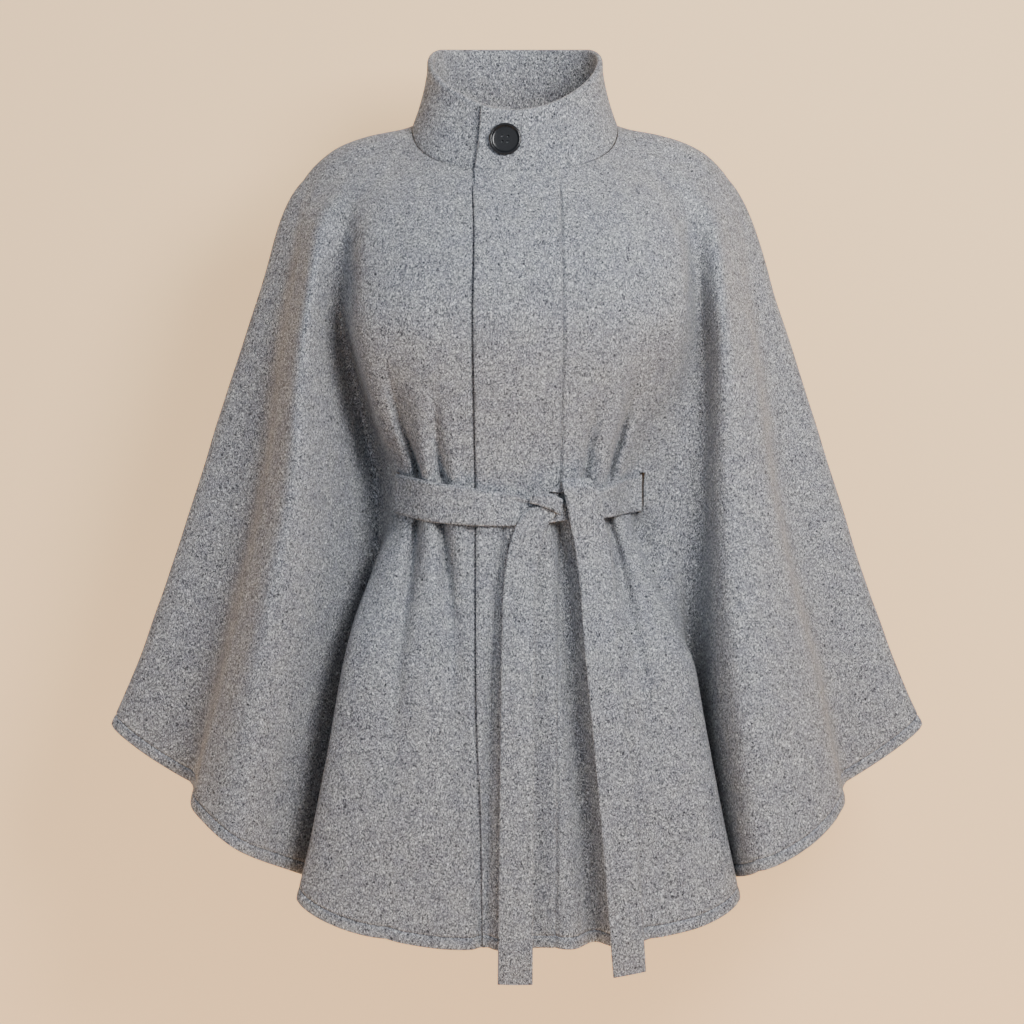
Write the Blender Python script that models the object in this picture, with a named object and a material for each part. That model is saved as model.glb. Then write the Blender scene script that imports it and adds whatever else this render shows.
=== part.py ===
"""A belted wool cape-poncho in the shape it takes when worn, with nobody in it.

Metres, +Z up, the front faces -Y and the viewer's left is -X. The origin is the middle of the
neck opening at shoulder height, where the wearer holds the garment up.

The cloth is one continuous surface, worked out from rays that run from the neck seam to the hem:
each row of the tables is one ridge, valley or seam of the drape. The pieces are cut from that surface
at the real seams and given their real thickness.
"""

import math

import bpy
import numpy as np

MM = 0.001

# Driving sizes
CLOTH = 2.0 * MM
DOUBLED_CLOTH = 3.5 * MM
SEAM_GAP = 0.3 * MM
BELT_THICKNESS = 4.0 * MM
COLLAR_THICKNESS = 6.0 * MM
BUTTON_DIAMETER = 31 * MM
BUTTON_THICKNESS = 4.2 * MM
BUTTON_STAND = 1.2 * MM

# Stations down each ray: neck, shoulder, chest, waist, hip, hem. Three of them are level sections.
CHEST, WAIST, HIP = -160 * MM, -346 * MM, -518 * MM

# The neck seam: an egg shape, lower in front
NECK_MIDDLE = -3 * MM
NECK_HALF_WIDTH = 101 * MM
NECK_FRONT, NECK_BACK = -87 * MM, 72 * MM
NECK_FRONT_Z, NECK_SIDE_Z, NECK_BACK_Z = -28 * MM, 10 * MM, 25 * MM

# The drape, in mm, for one side. out is away from the middle, deep is towards the back.
# name, neck angle, shoulder (out, deep, z), chest (out, deep), waist (out, deep), hip (out, deep), hem (out, deep, z)
FRONT_RAYS = (
    ("placket_line", 22.4, (39, -118, -84), (40, -138), (38, -99), (38, -135), (35, -160, -775)),
    ("front_middle", 43, (89, -110, -79), (101, -130), (82, -88), (103, -130), (129, -150, -767)),
    ("body_edge", 58, (139, -81, -68), (147, -103), (114, -46), (167, -100), (217, -112, -740)),
    ("fold_bottom", 68, (159, -57, -60), (175, -40), (142, 8), (154, -4), (200, -34, -742)),
    ("wing_ridge", 76, (175, -45, -51), (202, -84), (218, -102), (250, -114), (278, -120, -684)),
    ("flange_lip", 82, (190, -25, -44), (219, -58), (246, -71), (286, -80), (320, -86, -655)),
    ("flange_crease", 86, (200, -12, -42), (231, -30), (262, -34), (304, -36), (330, -31, -638)),
    ("over_arm_seam", 92, (213, 10, -40), (260, 0), (321, 0), (381, 0), (411, 0, -586)),
)
BACK_RAYS = (
    ("back_flange", 99, (203, 32, -43), (244, 40), (286, 50), (332, 56), (356, 60, -640)),
    ("back_wing", 110, (176, 58, -50), (204, 92), (236, 118), (268, 134), (292, 146, -700)),
    ("back_flute", 126, (140, 80, -56), (150, 110), (162, 116), (180, 124), (198, 132, -742)),
    ("back_middle", 150, (85, 98, -58), (90, 134), (94, 154), (102, 176), (114, 196, -774)),
)
CENTRE_FRONT = ("centre_front", 0, (0, -121, -86), (0, -141), (0, -101), (0, -139), (0, -163, -777))
CENTRE_BACK = ("centre_back", 180, (0, 104, -58), (0, 138), (0, 148), (0, 160), (0, 170, -784))
# On the viewer's right the wing hangs closer to the skirt, with a sharper ridge
RIGHT_RAYS = {
    "placket_line": (25.2, (42, -118, -84), (43, -138), (41, -99), (39, -135), (36, -160, -775)),
    "body_edge": (58, (139, -81, -68), (157, -103), (114, -46), (167, -100), (217, -112, -740)),
    "fold_bottom": (68, (160, -57, -60), (176, -56), (171, -34), (172, -16), (204, -34, -736)),
    "wing_ridge": (76, (176, -45, -51), (196, -88), (203, -88), (215, -120), (234, -130, -705)),
    "over_arm_seam": (92, (209, 10, -39), (256, 0), (318, 0), (378, 0), (409, 0, -586)),
}

# Gathers that the belt pinches, in mm. place is counted in rays from the centre front, station
# in sections from the neck; depth and half_width fade to nothing at the far end.
# side, place at belt, place at far end, station at belt, station at far end, depth, half width
GATHERS = (
    (-1, 2.53, 2.42, 2.95, 2.15, 16, 0.17),
    (-1, 1.82, 1.78, 2.95, 2.40, 8, 0.24),
    (1, 2.30, 2.76, 2.95, 2.20, 15, 0.18),
    (1, 1.66, 1.58, 2.95, 2.35, 7, 0.26),
    (-1, 2.48, 2.14, 3.05, 4.10, 16, 0.19),
    (-1, 1.82, 1.36, 3.05, 4.00, 9, 0.26),
    (1, 2.24, 2.28, 3.05, 4.05, 16, 0.19),
    (1, 3.16, 3.34, 3.22, 4.00, 22, 0.17),
    (-1, 3.05, 3.00, 2.60, 1.60, -11, 0.40),
    (-1, 3.00, 3.00, 3.40, 4.40, -8, 0.40),
    (1, 3.00, 2.90, 3.40, 4.40, -7, 0.40),
)

# The hem swings lower between some rays: side, ray it starts from, drop in mm
HEM_SWINGS = (
    (-1, 1, 3),
    (-1, 2, 5),
    (-1, 7, 7),
    (-1, 8, 2),
    (1, 1, 3),
    (1, 2, 5),
    (1, 5, 8),
    (1, 7, 7),
    (1, 8, 2),
)
# Rows of the cloth grid: shares of the way from one station to the next. The belt slit lies
# between the last row above the waist and the first below it.
ROW_STEPS = (
    (0, 0.25, 0.5, 0.75),
    (0, 0.2, 0.43, 0.7),
    (0, 0.25, 0.5, 0.7, 0.882),
    (0, 0.108, 0.3, 0.5, 0.75),
    (0, 0.25, 0.5, 0.75, 1.0),
)
SLIT_STATIONS = (2.882, 3.108)

# Columns of the grid: shares of the way from one ray to the next, from centre front to centre back
SLIT_SHARES = (0.1, 0.22)
COLUMN_STEPS = (
    (0, 0.33, 0.67),
    (0, 0.25, 0.5, 0.75),
    (0, 0.14, 0.28, 0.43, 0.57, 0.71, 0.86),
    (0, *SLIT_SHARES, 0.43, 0.62, 0.81),
    (0, 0.25, 0.5, 0.75),
    (0, 0.33, 0.67),
    (0, 0.5),
    (0, 0.33, 0.67),
    (0, 0.33, 0.67),
    (0, 0.33, 0.67),
    (0, 0.33, 0.67),
    (0, 0.33, 0.67),
    (0, 0.33, 0.67),
)
HALF_RING = len(COLUMN_STEPS)
RING = 2 * HALF_RING

# The cloth rises over the shoulders, most at the seam over the arm, over this many rays beside it
YOKE_RISE = 9.2 * MM
YOKE_SPREAD = 2.5

# The collar: a doubled band that stands on the neck seam, its right end lapped over its left end
RIM_HALF_WIDTH = 84 * MM
RIM_FRONT, RIM_BACK = -76 * MM, 64 * MM
RIM_FRONT_Z, RIM_BACK_Z = 31 * MM, 88 * MM
RIM_RISE_ANGLE = 120
COLLAR_WAIST = 3 * MM
COLLAR_LAP_LIFT = 3 * MM
COLLAR_UNDER_END = -0.5
# At its base the collar leans out with the front and back panels, up to this share of its height
COLLAR_BASE_LEAN, COLLAR_BASE_SHARE = 0.55, 0.25
# Up the collar: share of its height, swell outwards in mm, share of the full thickness
COLLAR_ROWS = (
    (0.00, 0.0, 0.80),
    (0.06, 0.9, 1.00),
    (0.35, 0.9, 1.00),
    (0.68, 0.9, 1.00),
    (0.94, 0.9, 1.00),
    (1.00, 0.9, 0.45),
)

# The belt's edges along the front, in mm: out from the middle, top, bottom
BELT_EDGES = (
    (-130, -325, -363),
    (-98, -325, -366),
    (-41, -331, -369),
    (-4, -337, -369),
    (20, -345, -367),
    (46, -346, -364),
    (75, -334, -363),
    (92, -328, -363),
    (130, -325, -363),
)
BELT_CLEARANCE = 1.0 * MM
# Past the placket's free edge the belt comes back to the cloth over this share of a ray
BELT_SETTLES = 0.7
# Its way round inside, behind the wearer's back, in mm: out, deep
BELT_INSIDE_STEPS = 3
BELT_INSIDE = (
    (-114, -35), (-106, -14), (-103, 10), (-96, 42), (-66, 74), (0, 88),
    (66, 76), (103, 46), (117, 12), (119, -12), (121, -32),
)
# Across the belt: share of its width, share of the full thickness
STRIP_ROWS = ((0, 0.5), (0.08, 1), (0.5, 1), (0.92, 1), (1, 0.5))

# Strips of the belt, in mm, a row for each place along them:
# left edge (out, z), right edge (out, z), how far the middle of the strip stands off the drape
LEFT_TAIL = (
    ((22, -347), (40, -353), 9.4),
    ((7, -353), (29, -366), 9.4),
    ((-3, -369), (23, -382), 9.2),
    ((-11, -398), (20, -401), 8.0),
    ((-14, -423), (16, -427), 7.5),
    ((-16, -474), (16, -474), 7.5),
    ((-18, -628), (15, -628), 7.5),
    ((-20, -807), (14, -807), 8.0),
)
RIGHT_TAIL = (
    ((30, -335), (55, -338), 3.2),
    ((39, -328), (67, -329), 4.0),
    ((41, -323), (70, -324), 7.8),
    ((43, -330), (74, -330), 11.8),
    ((46, -344), (80, -341), 12.0),
    ((49, -360), (83, -362), 12.0),
    ((55, -390), (89, -390), 10.0),
    ((60, -430), (92, -426), 8.0),
    ((63, -474), (95, -474), 7.5),
    ((79, -646), (114, -646), 7.5),
    ((92, -802), (124, -797), 8.0),
)
KNOT = (
    ((12, -338), (11, -345), 9.6),
    ((22, -336), (21, -347), 13.9),
    ((33, -336), (31, -351), 14.2),
    ((43, -341), (41, -357), 13.9),
)
STRIP_STEPS = 3

WOOL_GREY = (0.27, 0.275, 0.285)
BUTTON_BLACK = (0.012, 0.012, 0.013)

# The button, at the collar's lap
BUTTON_PLACE, BUTTON_HEIGHT = 0.26, 0.51
BUTTON_HOLE_DIAMETER, BUTTON_HOLE_SPACING = 2.4 * MM, 5.2 * MM
BUTTON_SIDES, BUTTON_HOLE_SIDES = 40, 12
# Its turned face from the back's edge to the dish, in shares of its radius and thickness
BUTTON_PROFILE = (
    (0.88, 0.00), (0.96, 0.10), (1.00, 0.38), (1.00, 0.66),
    (0.96, 0.92), (0.90, 1.00), (0.82, 0.98), (0.76, 0.80), (0.72, 0.64),
)


def smooth(t):
    t = min(max(t, 0.0), 1.0)
    return t * t * (3 - 2 * t)


def spline(points, places, closed=False):
    """A centripetal curve through the points, read at places such as 2.25: a quarter past point 2."""
    points = np.asarray(points, float)
    count = len(points)
    after = np.roll(points, -1, axis=0)
    steps = np.sqrt(np.maximum(np.linalg.norm(after - points, axis=1), 1e-9))[:, None]
    slopes = (after - points) / steps
    before_steps, before_slopes = np.roll(steps, 1, axis=0), np.roll(slopes, 1, axis=0)
    tangents = (before_slopes * steps + slopes * before_steps) / (steps + before_steps)
    if not closed:
        tangents[0], tangents[-1] = slopes[0], slopes[-2]
    read = []
    for place in places:
        i = int(place) % count if closed else min(int(place), count - 2)
        t = place - int(place) if closed else place - i
        j = (i + 1) % count
        step = steps[i]
        read.append(
            (2 * t**3 - 3 * t**2 + 1) * points[i]
            + (t**3 - 2 * t**2 + t) * step * tangents[i]
            + (3 * t**2 - 2 * t**3) * points[j]
            + (t**3 - t**2) * step * tangents[j]
        )
    return np.array(read)


def neck_point(degrees, side):
    """A point of the neck seam, degrees round from the centre front."""
    angle = math.radians(degrees)
    middle, half = (NECK_BACK + NECK_FRONT) / 2, (NECK_BACK - NECK_FRONT) / 2
    if degrees < 90:
        z = NECK_FRONT_Z + (NECK_SIDE_Z - NECK_FRONT_Z) * (degrees / 90) ** 2.2
    else:
        left = 1 - (degrees - 90) / 90
        z = NECK_SIDE_Z + (NECK_BACK_Z - NECK_SIDE_Z) * (1 - left**2.4)
    return (NECK_MIDDLE + side * NECK_HALF_WIDTH * math.sin(angle), middle - half * math.cos(angle), z)


def ray_points(row, side):
    """The six stations of one ray, from the neck seam to the hem."""
    name, angle, shoulder, chest, waist, hip, hem = row
    if side > 0 and name in RIGHT_RAYS:
        angle, shoulder, chest, waist, hip, hem = RIGHT_RAYS[name]
    points = [neck_point(angle, side)]
    levels = (*chest, CHEST / MM), (*waist, WAIST / MM), (*hip, HIP / MM)
    for out, deep, z in (shoulder, *levels, hem):
        points.append((side * out * MM, deep * MM, z * MM))
    return points


def ring_of_rays():
    """Rays in order round the garment: centre front, the viewer's left, the back, the right."""
    side_rows = FRONT_RAYS + BACK_RAYS
    ring = [(CENTRE_FRONT, -1)]
    ring += [(row, -1) for row in side_rows]
    ring += [(CENTRE_BACK, 1)]
    ring += [(row, 1) for row in reversed(side_rows)]
    return [ray_points(row, side) for row, side in ring]


def row_places():
    places = []
    for station, steps in enumerate(ROW_STEPS):
        places += [station + step for step in steps]
    return places


def column_places():
    """Places round the ring, in rays from the centre front, going by the viewer's left."""
    left = [span + share for span, shares in enumerate(COLUMN_STEPS) for share in shares]
    right = [RING - place for place in reversed(left) if place > 0]
    return left + [HALF_RING] + right


def place_on_side(place):
    """(side, rays from the centre front) of a place on the ring."""
    return (-1, place) if place <= HALF_RING else (1, RING - place)


def gather_depth(side, place, station):
    depth = 0.0
    for fold_side, at_belt, at_end, belt, end, deep, half_width in GATHERS:
        share = (station - belt) / (end - belt)
        if side != fold_side or share > 1:
            continue
        centre = at_belt + (at_end - at_belt) * max(share, 0)
        faded = smooth((1 - max(share, 0)) * 1.25) * smooth(1 + share * 4)
        wide = half_width * (1 + 0.8 * max(share, 0))
        depth += deep * MM * faded * math.exp(-(((place - centre) / wide) ** 2))
    return depth


def hem_swing(side, place, station):
    drop = 0.0
    for swing_side, ray, most in HEM_SWINGS:
        share = place - ray
        if side == swing_side and 0 < share < 1 and station > 4:
            drop += most * MM * 4 * share * (1 - share) * (station - 4) ** 2
    return drop


class Drape:
    """The outer face of the cloth as a grid, with its outward normals."""

    def __init__(self):
        self.rows, self.columns = row_places(), column_places()
        rays = [spline(points, self.rows) for points in ring_of_rays()]
        for i, ray in enumerate(rays):
            from_seam = place_on_side(i)[1] - len(FRONT_RAYS)
            near_seam = math.exp(-((from_seam / YOKE_SPREAD) ** 2))
            for r, station in enumerate(self.rows):
                if station < 1:
                    ray[r][2] += YOKE_RISE * near_seam * 4 * station * (1 - station)
        rings = [spline([ray[r] for ray in rays], self.columns, closed=True) for r in range(len(self.rows))]
        self.points = np.array(rings)
        for r, station in enumerate(self.rows):
            for c, place in enumerate(self.columns):
                self.points[r, c, 2] -= hem_swing(*place_on_side(place), station)
        self.plain_points = self.points
        self.plain_normals = self.normals_of(self.points)
        depth = np.zeros(self.points.shape[:2])
        for r, station in enumerate(self.rows):
            for c, place in enumerate(self.columns):
                depth[r, c] = gather_depth(*place_on_side(place), station)
        self.points = self.points - self.plain_normals * depth[:, :, None]
        self.normals = self.normals_of(self.points)

    @staticmethod
    def normals_of(points):
        along = np.roll(points, -1, axis=1) - np.roll(points, 1, axis=1)
        down = np.gradient(points, axis=0)
        normals = np.cross(along, down)
        return normals / np.linalg.norm(normals, axis=2)[:, :, None]

    def column(self, place):
        return int(np.argmin([abs(c - place) for c in self.columns]))

    def row(self, station):
        return int(np.argmin([abs(r - station) for r in self.rows]))

    def plain_at(self, column, z):
        """The point and normal at height z of a column, before the gathers are pressed in."""
        heights = self.plain_points[:, column, 2]
        point = [np.interp(-z, -heights, self.plain_points[:, column, axis]) for axis in (0, 1, 2)]
        normal = [np.interp(-z, -heights, self.plain_normals[:, column, axis]) for axis in (0, 1, 2)]
        return np.array(point), np.array(normal)

    def front_at(self, out, z):
        """How deep the front lies at (out, z), before the gathers are pressed in."""
        last = self.column(3)
        front = [c % len(self.columns) for c in range(last, -last - 1, -1)]
        met = [self.plain_at(c, z)[0] for c in front]
        return float(np.interp(out, [p[0] for p in met], [p[1] for p in met]))


def remove_everything():
    for old in list(bpy.data.objects):
        bpy.data.objects.remove(old)


def material(name, colour, roughness, metallic=0.0):
    made = bpy.data.materials.new(name)
    made.use_nodes = True
    shader = made.node_tree.nodes["Principled BSDF"]
    shader.inputs["Base Color"].default_value = (*colour, 1.0)
    shader.inputs["Roughness"].default_value = roughness
    shader.inputs["Metallic"].default_value = metallic
    return made


def add_object(name, vertices, faces, finish, smooth_under=50):
    mesh = bpy.data.meshes.new(name)
    mesh.from_pydata([tuple(v) for v in vertices], [], faces)
    mesh.shade_smooth()
    mesh.set_sharp_from_angle(angle=math.radians(smooth_under))
    mesh.materials.append(finish)
    made = bpy.data.objects.new(name, mesh)
    bpy.context.scene.collection.objects.link(made)
    return made


def wall(name, outer, inner, finish, holes=(), ring=False):
    """A closed sheet between two grids of points. holes lists (row, column) cells left out."""
    rows, columns = outer.shape[:2]
    count = rows * columns
    holes = set(holes)

    def at(r, c, layer=0):
        return layer * count + r * columns + c % columns

    def solid(r, c):
        return 0 <= r < rows - 1 and (ring or 0 <= c < columns - 1) and (r, c) not in holes

    faces = []
    for r in range(rows - 1):
        for c in range(columns if ring else columns - 1):
            if not solid(r, c):
                continue
            corners = (r, c), (r, c + 1), (r + 1, c + 1), (r + 1, c)
            beyond = (r - 1, c), (r, c + 1), (r + 1, c), (r, c - 1)
            for half in (corners[:3], corners[2:] + corners[:1]):
                faces.append([at(*corner) for corner in half])
                faces.append([at(*corner, 1) for corner in reversed(half)])
            for edge in range(4):
                if not solid(*beyond[edge]):
                    a, b = corners[edge], corners[(edge + 1) % 4]
                    faces.append([at(*b), at(*a), at(*a, 1), at(*b, 1)])
    vertices = np.concatenate([outer.reshape(-1, 3), inner.reshape(-1, 3)])
    used = sorted({i for face in faces for i in face})
    number = {old: new for new, old in enumerate(used)}
    faces = [[number[i] for i in face] for face in faces]
    return add_object(name, vertices[used], faces, finish)


def trimmed(points):
    """The grid with its side and top edges drawn back by half the seam gap."""
    points = points.copy()

    def draw_back(edge, inside):
        step = inside - edge
        return edge + step / np.linalg.norm(step, axis=1)[:, None] * SEAM_GAP / 2

    points[:, 0] = draw_back(points[:, 0], points[:, 1])
    points[:, -1] = draw_back(points[:, -1], points[:, -2])
    points[0] = draw_back(points[0], points[1])
    return points


def panel(name, drape, columns, lifts, thickness, finish, holes=()):
    """A piece of the drape, lifted off it by lifts (one per column), as thick as the cloth is."""
    points, normals = drape.points[:, columns], drape.normals[:, columns]
    lift = np.asarray(lifts)[None, :, None]
    outer = trimmed(points + normals * lift)
    inner = trimmed(points + normals * (lift - thickness))
    return wall(name, outer, inner, finish, holes)


def placket_lift(share):
    """How far the doubled placket stands off the drape, from its free edge (0) to its seam (1)."""
    return (DOUBLED_CLOTH + SEAM_GAP) * (1 - share)


def slit_cells(drape, columns, side):
    """The cells of a front panel that are left open for the belt."""
    places = [3 + share if side < 0 else RING - 3 - share for share in SLIT_SHARES]
    ends = sorted(columns.index(drape.column(place)) for place in places)
    top, bottom = (drape.row(station) for station in SLIT_STATIONS)
    return [(r, c) for r in range(top, bottom) for c in range(*ends)]


def build_cloth(drape, finish):
    total = len(drape.columns)
    free_edge, far_edge = drape.column(1), drape.column(RING - 1)
    seam_left, seam_right = drape.column(len(FRONT_RAYS)), drape.column(RING - len(FRONT_RAYS))
    across = [c % total for c in range(far_edge, total + free_edge + 1)][::-1]
    shares = [i / (len(across) - 1) for i in range(len(across))]
    lifts = [placket_lift(share) for share in shares]
    panel("placket", drape, across[::-1], lifts[::-1], DOUBLED_CLOTH, finish)

    under = len(across) // 2
    left_columns = across[:under][::-1][:-1] + list(range(free_edge, seam_left + 1))
    left_lifts = [placket_lift(shares[i]) - placket_lift(0) for i in range(under)][::-1][:-1]
    left_lifts += [0.0] * (seam_left - free_edge + 1)
    slit = slit_cells(drape, left_columns, -1)
    panel("front_left", drape, left_columns, left_lifts, CLOTH, finish, slit)

    right_columns = list(range(seam_right, far_edge + 1))
    slit = slit_cells(drape, right_columns, 1)
    panel("front_right", drape, right_columns, [0.0] * len(right_columns), CLOTH, finish, slit)

    back_columns = list(range(seam_left, seam_right + 1))
    panel("back", drape, back_columns, [0.0] * len(back_columns), CLOTH, finish)


def collar_lift(place):
    """How far the collar's outer face stands off its plain track. Its under end starts before 0."""
    under = -(COLLAR_THICKNESS + SEAM_GAP)
    if place <= 1:
        return COLLAR_LAP_LIFT * (place + 1) / 2 + under
    if place < 3:
        return (COLLAR_LAP_LIFT + under) * (1 - smooth((place - 1) / 2))
    return COLLAR_LAP_LIFT * max(place - RING + 1, 0) / 2


def collar_grids(drape):
    """Outer and inner grids of the collar, from its under end to the edge that laps over it."""
    total = len(drape.columns)
    first, last = drape.column(RING + COLLAR_UNDER_END) - total, drape.column(1) + total
    outer, inner, places = [], [], []
    for c in range(first, last + 1):
        turn, index = divmod(c, total)
        places.append(drape.columns[index] + turn * RING)
        base = drape.points[0, index]
        across = (base[0] - NECK_MIDDLE) / NECK_HALF_WIDTH
        forward = ((NECK_BACK + NECK_FRONT) / 2 - base[1]) / ((NECK_BACK - NECK_FRONT) / 2)
        angle = math.degrees(math.atan2(across, forward))
        rim = np.array((
            NECK_MIDDLE + RIM_HALF_WIDTH * across,
            (RIM_BACK + RIM_FRONT) / 2 - (RIM_BACK - RIM_FRONT) / 2 * forward,
            RIM_FRONT_Z + (RIM_BACK_Z - RIM_FRONT_Z) * smooth(abs(angle) / RIM_RISE_ANGLE),
        ))
        flat = np.array((across / NECK_HALF_WIDTH, -forward * 2 / (NECK_BACK - NECK_FRONT), 0))
        flat /= np.linalg.norm(flat)
        at_base = flat + np.array((0, 0, COLLAR_BASE_LEAN * abs(forward)))
        at_base /= np.linalg.norm(at_base)
        up = (rim - base) / np.linalg.norm(rim - base)
        column_outer, column_inner = [], []
        for height, swell, share in COLLAR_ROWS:
            upright = min(height / COLLAR_BASE_SHARE, 1)
            out = at_base * (1 - upright) + flat * upright
            face = base + up * SEAM_GAP + (rim - base) * height
            face = face - out * COLLAR_WAIST * 4 * height * (1 - height)
            face = face + out * (swell * MM + collar_lift(places[-1]))
            spare = COLLAR_THICKNESS * (1 - share) / 2
            column_outer.append(face - out * spare)
            column_inner.append(face - out * (COLLAR_THICKNESS - spare))
        outer.append(column_outer[::-1])
        inner.append(column_inner[::-1])
    return np.array(outer).transpose(1, 0, 2), np.array(inner).transpose(1, 0, 2), places


def belt_clearance(place):
    """How far the belt's inner face stands off the drape at a place of the front."""
    side, near = place_on_side(place % RING)
    across = -side * near
    if across <= -1:
        return BELT_CLEARANCE
    placket = DOUBLED_CLOTH + SEAM_GAP
    if across <= 1:
        return BELT_CLEARANCE + placket * (across + 1) / 2
    return BELT_CLEARANCE + placket * (1 - smooth((across - 1) / BELT_SETTLES))


def build_belt(drape, finish):
    """The tied band: over the front, in through both slits and round behind the back."""
    total = len(drape.columns)
    last = drape.column(3 + SLIT_SHARES[0])
    xs, tops, bottoms = zip(*BELT_EDGES)
    outer, inner = [], []
    for c in range(-last, last + 1):
        index = c % total
        out = drape.plain_at(index, WAIST)[0][0] / MM
        top, bottom = np.interp(out, xs, tops), np.interp(out, xs, bottoms)
        outer.append([])
        inner.append([])
        for share, thick in STRIP_ROWS:
            point, normal = drape.plain_at(index, (top + (bottom - top) * share) * MM)
            off = belt_clearance(drape.columns[index])
            spare = BELT_THICKNESS * (1 - thick) / 2
            inner[-1].append(point + normal * (off + spare))
            outer[-1].append(point + normal * (off + BELT_THICKNESS - spare))
    turns = [i / BELT_INSIDE_STEPS for i in range(BELT_INSIDE_STEPS * (len(BELT_INSIDE) - 1) + 1)]
    inside = spline([(x * MM, y * MM, 0) for x, y in BELT_INSIDE], turns)
    tangents = np.gradient(inside, axis=0)
    top, bottom = BELT_EDGES[0][1] * MM, BELT_EDGES[0][2] * MM
    for point, tangent in zip(inside, tangents):
        flat = np.array((-tangent[1], tangent[0], 0)) / np.linalg.norm(tangent)
        outer.append([])
        inner.append([])
        for share, thick in STRIP_ROWS:
            level = point + np.array((0, 0, top + (bottom - top) * share))
            inner[-1].append(level - flat * BELT_THICKNESS / 2 * thick)
            outer[-1].append(level + flat * BELT_THICKNESS / 2 * thick)
    grids = [np.array(grid).transpose(1, 0, 2) for grid in (outer, inner)]
    wall("belt", *grids, finish, ring=True)


def build_strip(name, drape, rows, finish):
    """A strip of the belt that lies on the front, through the rows of its table."""
    left = [(x * MM, off * MM, z * MM) for (x, z), _, off in rows]
    right = [(x * MM, off * MM, z * MM) for _, (x, z), off in rows]
    places = [i / STRIP_STEPS for i in range(STRIP_STEPS * (len(rows) - 1) + 1)]
    left, right = spline(left, places), spline(right, places)
    middle = []
    for a, b in zip(right, left):
        line = []
        for share, _ in STRIP_ROWS:
            point = a + (b - a) * share
            line.append((point[0], drape.front_at(point[0], point[2]) - point[1], point[2]))
        middle.append(line)
    middle = np.array(middle)
    along, down = np.gradient(middle, axis=1), np.gradient(middle, axis=0)
    normals = np.cross(along, down)
    normals /= np.linalg.norm(normals, axis=2)[:, :, None]
    half = np.array([thick for _, thick in STRIP_ROWS])[None, :, None] * BELT_THICKNESS / 2
    wall(name, middle + normals * half, middle - normals * half, finish)


def build_button(grids, finish):
    """A turned four-hole button that stands on the collar's outer face at its lap."""
    outer, _, places = grids
    rows = [height for height, _, _ in COLLAR_ROWS][::-1]

    def on_face(place, height):
        levels = [[np.interp(place + RING, places, row[:, axis]) for axis in (0, 1, 2)] for row in outer]
        levels = np.array(levels)[::-1]
        return np.array([np.interp(height, rows[::-1], levels[:, axis]) for axis in (0, 1, 2)])

    seat = on_face(BUTTON_PLACE, BUTTON_HEIGHT)
    level = on_face(BUTTON_PLACE - 0.3, BUTTON_HEIGHT) - on_face(BUTTON_PLACE + 0.3, BUTTON_HEIGHT)
    level /= np.linalg.norm(level)
    rise = on_face(BUTTON_PLACE, BUTTON_HEIGHT + 0.2) - on_face(BUTTON_PLACE, BUTTON_HEIGHT - 0.2)
    facing = np.cross(level, rise)
    facing /= np.linalg.norm(facing)
    rise = np.cross(facing, level)
    seat = seat + facing * BUTTON_STAND
    steps, radius = BUTTON_SIDES, BUTTON_DIAMETER / 2
    vertices, faces = [], []
    for share, height in BUTTON_PROFILE:
        for i in range(steps):
            angle = 2 * math.pi * i / steps
            flat = level * math.cos(angle) + rise * math.sin(angle)
            vertices.append(seat + flat * radius * share + facing * BUTTON_THICKNESS * height)
    last_ring = (len(BUTTON_PROFILE) - 1) * steps
    for k in range(0, last_ring, steps):
        for i in range(steps):
            j = (i + 1) % steps
            faces.append((k + i, k + j, k + steps + j, k + steps + i))
    faces.append(tuple(range(steps))[::-1])
    faces.append(tuple(last_ring + i for i in range(steps)))
    button = add_object("button", vertices, faces, finish)
    for across in (-BUTTON_HOLE_SPACING / 2, BUTTON_HOLE_SPACING / 2):
        for up in (-BUTTON_HOLE_SPACING / 2, BUTTON_HOLE_SPACING / 2):
            button_hole(button, seat + level * across + rise * up, level, rise, facing)


def button_hole(button, centre, level, rise, facing):
    """A cutter through the button, which reaches past both of its faces."""
    steps, radius = BUTTON_HOLE_SIDES, BUTTON_HOLE_DIAMETER / 2
    vertices = []
    for end in (-1, 2):
        for i in range(steps):
            angle = 2 * math.pi * i / steps
            flat = level * math.cos(angle) + rise * math.sin(angle)
            vertices.append(centre + flat * radius + facing * BUTTON_THICKNESS * end)
    faces = [tuple(range(steps))[::-1], tuple(range(steps, 2 * steps))]
    faces += [(i, (i + 1) % steps, steps + (i + 1) % steps, steps + i) for i in range(steps)]
    mesh = bpy.data.meshes.new("hole")
    mesh.from_pydata([tuple(v) for v in vertices], [], faces)
    cutter = bpy.data.objects.new("hole", mesh)
    cutter.hide_render = True
    cutter.display_type = "WIRE"
    bpy.context.scene.collection.objects.link(cutter)
    cut = button.modifiers.new("hole", "BOOLEAN")
    cut.operation = "DIFFERENCE"
    cut.object = cutter


def main():
    remove_everything()
    wool = material("grey_wool", WOOL_GREY, 0.95)
    plastic = material("black_plastic", BUTTON_BLACK, 0.2)
    drape = Drape()
    build_cloth(drape, wool)
    grids = collar_grids(drape)
    wall("collar", grids[0], grids[1], wool)
    belt_wool = material("belt_wool", WOOL_GREY, 0.95)
    build_belt(drape, belt_wool)
    build_strip("belt_knot", drape, KNOT, belt_wool)
    build_strip("belt_tail_left", drape, LEFT_TAIL, belt_wool)
    build_strip("belt_tail_right", drape, RIGHT_TAIL, belt_wool)
    build_button(grids, plastic)


main()
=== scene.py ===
"""The looks of the belted wool cape-poncho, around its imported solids.

The cloth is drawn again from the same rays as the solids, on a finer grid, with its softer
creases, its rounded edges and its stitched hem.
"""

import math

import bpy
import numpy as np
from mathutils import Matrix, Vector
from mathutils.noise import noise


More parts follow.
